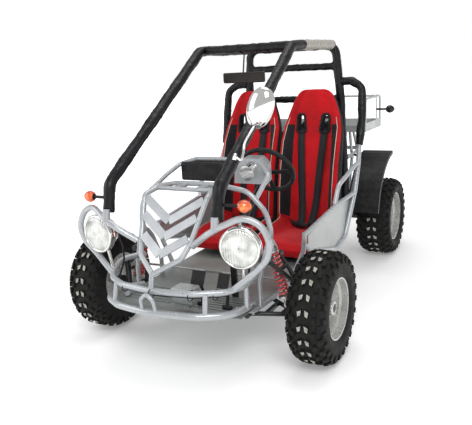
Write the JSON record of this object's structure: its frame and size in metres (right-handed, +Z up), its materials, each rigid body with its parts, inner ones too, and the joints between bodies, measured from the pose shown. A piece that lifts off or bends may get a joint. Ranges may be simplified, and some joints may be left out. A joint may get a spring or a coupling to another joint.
{
  "type": "two-seat off-road racing kart",
  "caption": "Open tubular off-road kart with two bucket seats side by side, padded roll cage, knobby tyres, round headlamps, coil sprung arms and rear rack.",
  "frame": {"origin": "on the ground under the middle of the vehicle's overall length and width", "axes": "+Z up, -Y forward, +X the driver's left"},
  "size_m": [1.388, 2.4754, 1.459],
  "materials": {
    "silver_paint": "metallic silver gloss",
    "silver_sheet": "satin silver sheet",
    "black_steel": "gloss black",
    "pad_black": "wrinkled vinyl sleeve",
    "seat_red": "woven red with black side panels",
    "belt_black": "woven webbing",
    "chrome_bright": "polished",
    "amber_lens": "clear amber",
    "smoke_black": "gloss black",
    "black_plastic": "grained",
    "tyre_rubber": "matt",
    "rim_silver": "satin silver",
    "bright_steel": "brushed",
    "spring_red": "gloss red",
    "engine_alloy": "cast",
    "grey_cast": "cast and machined"
  },
  "bodies": {
    "chassis": {"lower_frame": "silver_paint", "steering_column": "silver_paint", "front_bumper": "silver_paint", "headlight_loops": "silver_paint", "nose_shield": "silver_paint", "cowl_hoop": "silver_paint", "rear_hoop": "pad_black", "cage_rail_left": "pad_black", "cage_rail_right": "pad_black", "roof_crossbar": "pad_black", "cage_side_bars": "pad_black", "side_frames": "silver_paint", "rear_subframe": "silver_paint", "swing_arm": "black_steel", "engine": "engine_alloy", "front_arms": "black_steel", "front_shocks": "spring_red", "rear_shocks": "spring_red", "floor_pan": "silver_sheet", "side_panel_left": "silver_sheet", "side_panel_right": "silver_sheet", "dash_box": "black_plastic", "dash_cowl": "silver_paint", "instrument_pod": "chrome_bright", "driver_seat": "seat_red", "passenger_seat": "seat_red", "harnesses": "belt_black", "headlights": "chrome_bright", "front_turn_signals": "amber_lens", "side_mirror": "chrome_bright", "centre_mirror": "smoke_black", "pedals": "black_steel", "fluid_box": "grey_cast", "exhaust": "bright_steel", "fuel_tank": "black_plastic", "rear_fenders": "black_plastic", "rear_rack": "silver_sheet", "rear_lamps": "smoke_black", "wiring_loom": "black_plastic"},
    "steering": {"steering_wheel": "black_plastic"},
    "left_knuckle": {"knuckle_left": "black_steel"},
    "right_knuckle": {"knuckle_right": "black_steel"},
    "track_rods": {"tie_rods": "bright_steel"},
    "left_front_wheel": {"front_left_tyre": "tyre_rubber", "front_left_wheel": "rim_silver"},
    "right_front_wheel": {"front_right_tyre": "tyre_rubber", "front_right_wheel": "rim_silver"},
    "live_axle": {"rear_axle": "bright_steel", "rear_left_tyre": "tyre_rubber", "rear_left_wheel": "rim_silver", "rear_right_tyre": "tyre_rubber", "rear_right_wheel": "rim_silver"}
  },
  "joints": [
    {"name": "steering_wheel_turn", "type": "hinge", "parent": "chassis", "child": "steering", "pos_m": [0.2, -0.3915, 0.815], "axis": [0, 0.8387, 0.5446], "range_deg": [-100, 100]},
    {"name": "left_knuckle_steer", "type": "hinge", "parent": "chassis", "child": "left_knuckle", "pos_m": [0.484, -0.7265, 0.26], "axis": [0, 0, 1], "range_deg": [-22.5, 22.5]},
    {"name": "right_knuckle_steer", "type": "hinge", "parent": "chassis", "child": "right_knuckle", "pos_m": [-0.484, -0.7265, 0.26], "axis": [0, 0, 1], "range_deg": [-22.5, 22.5]},
    {"name": "track_rods_slide", "type": "slide", "parent": "chassis", "child": "track_rods", "axis": [1, 0, 0], "range_m": [-0.03, 0.03]},
    {"name": "front_left_wheel_spin", "type": "hinge", "parent": "left_knuckle", "child": "left_front_wheel", "pos_m": [0.602, -0.7265, 0.26], "axis": [1, 0, 0], "continuous": true},
    {"name": "front_right_wheel_spin", "type": "hinge", "parent": "right_knuckle", "child": "right_front_wheel", "pos_m": [-0.602, -0.7265, 0.26], "axis": [1, 0, 0], "continuous": true},
    {"name": "rear_axle_spin", "type": "hinge", "parent": "chassis", "child": "live_axle", "pos_m": [0, 0.9735, 0.265], "axis": [1, 0, 0], "continuous": true}
  ],
  "couplings": [
    {"joint": "left_knuckle_steer", "follows": "steering_wheel_turn", "ratio": 0.22},
    {"joint": "right_knuckle_steer", "follows": "steering_wheel_turn", "ratio": 0.22},
    {"joint": "track_rods_slide", "follows": "steering_wheel_turn", "m_per_rad": -0.016036}
  ]
}
